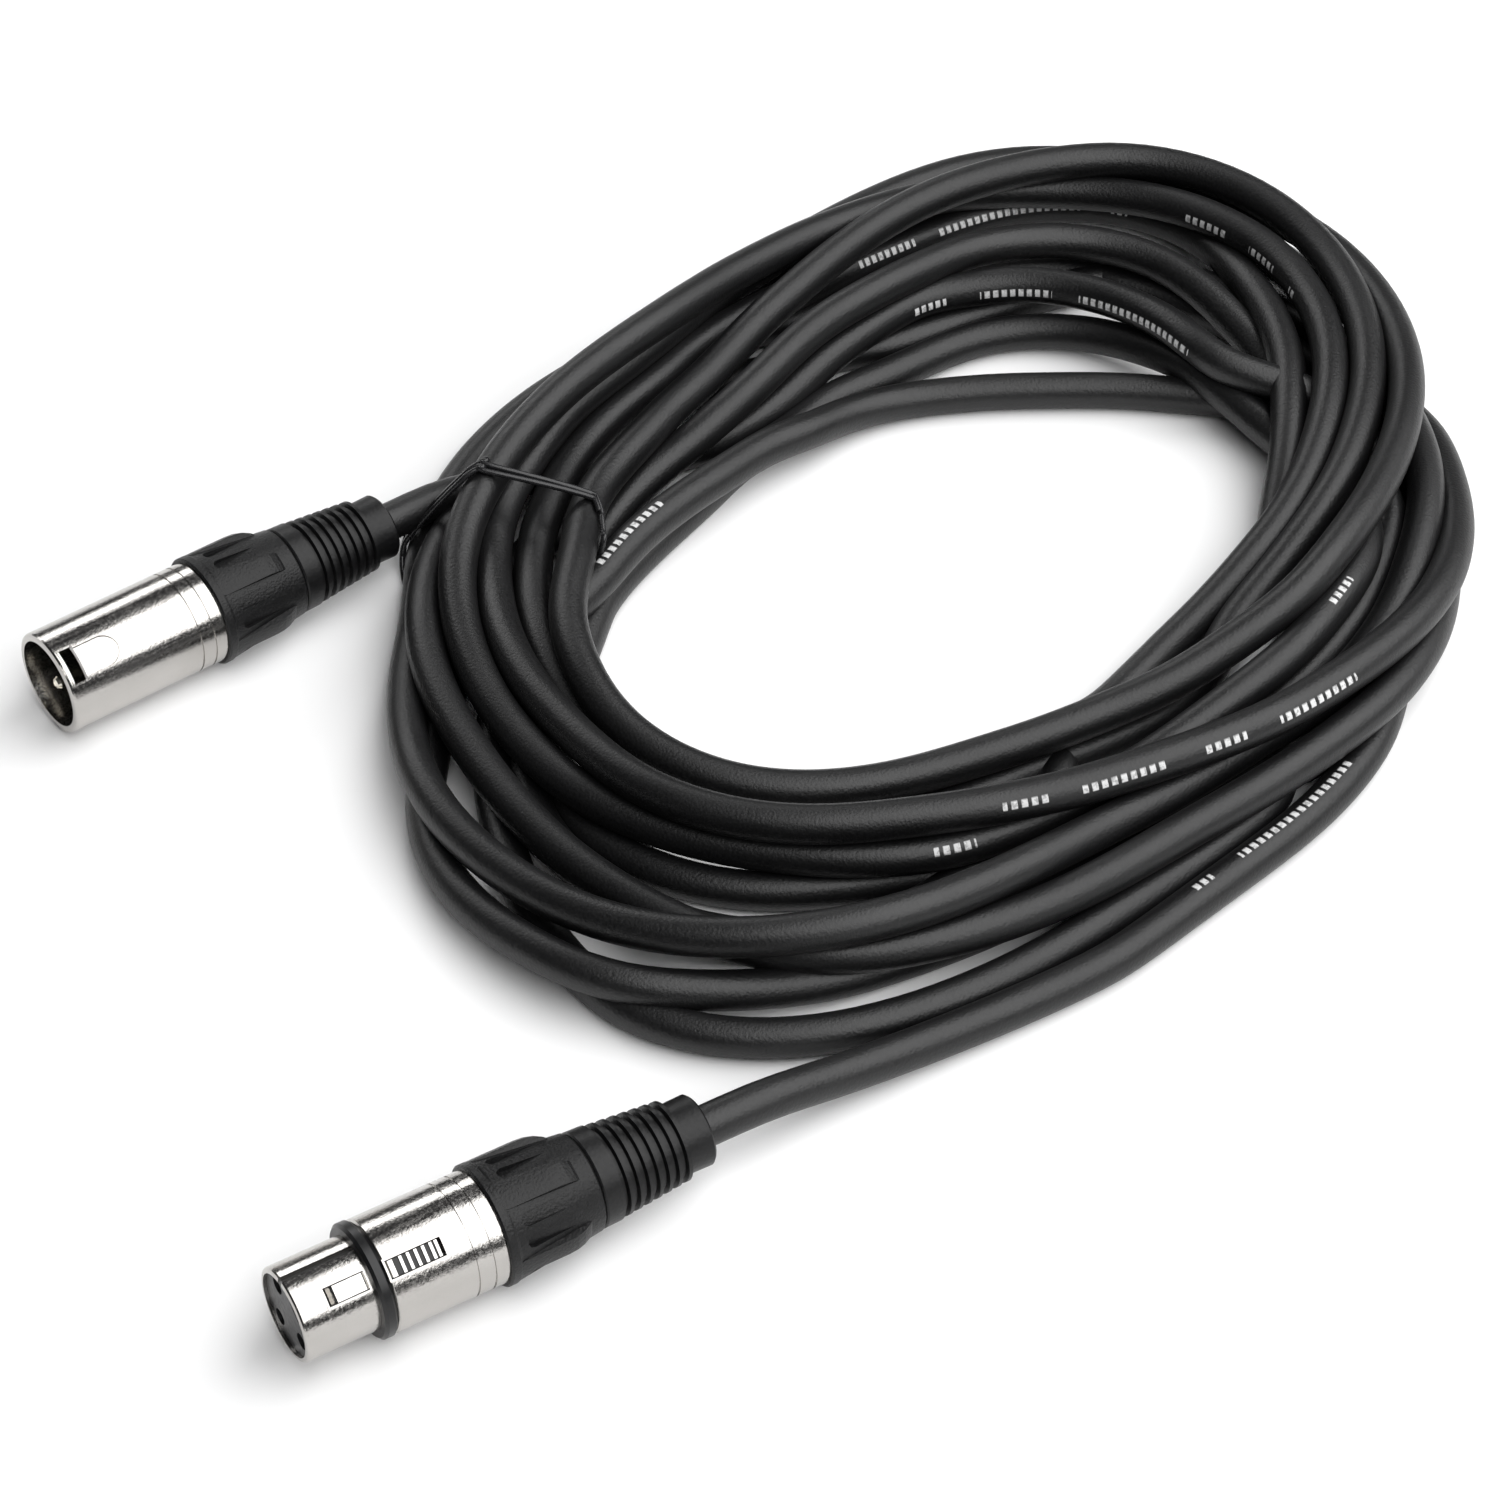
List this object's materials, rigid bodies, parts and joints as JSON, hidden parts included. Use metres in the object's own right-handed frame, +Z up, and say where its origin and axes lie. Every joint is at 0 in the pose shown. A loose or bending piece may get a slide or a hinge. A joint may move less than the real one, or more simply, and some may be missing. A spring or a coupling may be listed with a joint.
{
  "type": "xlr cable coil",
  "caption": "Coiled balanced microphone cable with a three-pin plug on one end and a latching three-hole socket plug on the other, held by a thin tie.",
  "frame": {"origin": "on the floor, under the middle of the whole object's box", "axes": "+Z up; +X along the pin plug's axis, from its mouth towards the cable; +Y completes the frame, away from the side the two plugs point out on"},
  "size_m": [0.3182, 0.1878, 0.0255],
  "materials": {
    "nickel_shell": "satin nickel plating over die-cast metal",
    "black_insert": "moulded glass-filled plastic",
    "contact_metal": "plated brass contacts",
    "latch_metal": "bright nickel plating",
    "spring_steel": "spring wire",
    "bushing_plastic": "fine spark-eroded texture",
    "chuck_plastic": "plain moulded plastic",
    "boot_rubber": "matt moulded rubber",
    "ring_rubber": "smooth rubber",
    "cable_jacket": "matt flexible jacket with a small printed dash pattern",
    "core_red": "insulated core",
    "core_white": "insulated core",
    "core_screen": "twisted copper screen",
    "tie_cord": "thin elastic cord"
  },
  "bodies": {
    "cable": {"cable_coil": "cable_jacket", "coil_tie": "tie_cord", "female_boot": "boot_rubber", "female_bushing": "bushing_plastic", "female_chuck": "chuck_plastic", "female_core_1": "core_screen", "female_core_2": "core_red", "female_core_3": "core_white", "female_insert": "black_insert", "female_lead": "cable_jacket", "female_ring": "ring_rubber", "female_shell": "nickel_shell", "female_socket_1": "contact_metal", "female_socket_2": "contact_metal", "female_socket_3": "contact_metal", "latch_pin": "spring_steel", "latch_spring": "spring_steel", "male_boot": "boot_rubber", "male_bushing": "bushing_plastic", "male_chuck": "chuck_plastic", "male_core_1": "core_screen", "male_core_2": "core_red", "male_core_3": "core_white", "male_insert": "black_insert", "male_lead": "cable_jacket", "male_pin_1": "contact_metal", "male_pin_2": "contact_metal", "male_pin_3": "contact_metal", "male_shell": "nickel_shell"},
    "latch": {"female_latch": "latch_metal"}
  },
  "joints": [
    {"name": "latch_press", "type": "hinge", "parent": "cable", "child": "latch", "pos_m": [-0.13327, -0.08292, 0.0147], "axis": [-0.083, -0.7727, -0.6293], "range_deg": [0, 4.5], "stiffness_Nm_per_rad": 0.12, "springref_deg": -6.88, "deforming": ["latch_spring"]}
  ]
}
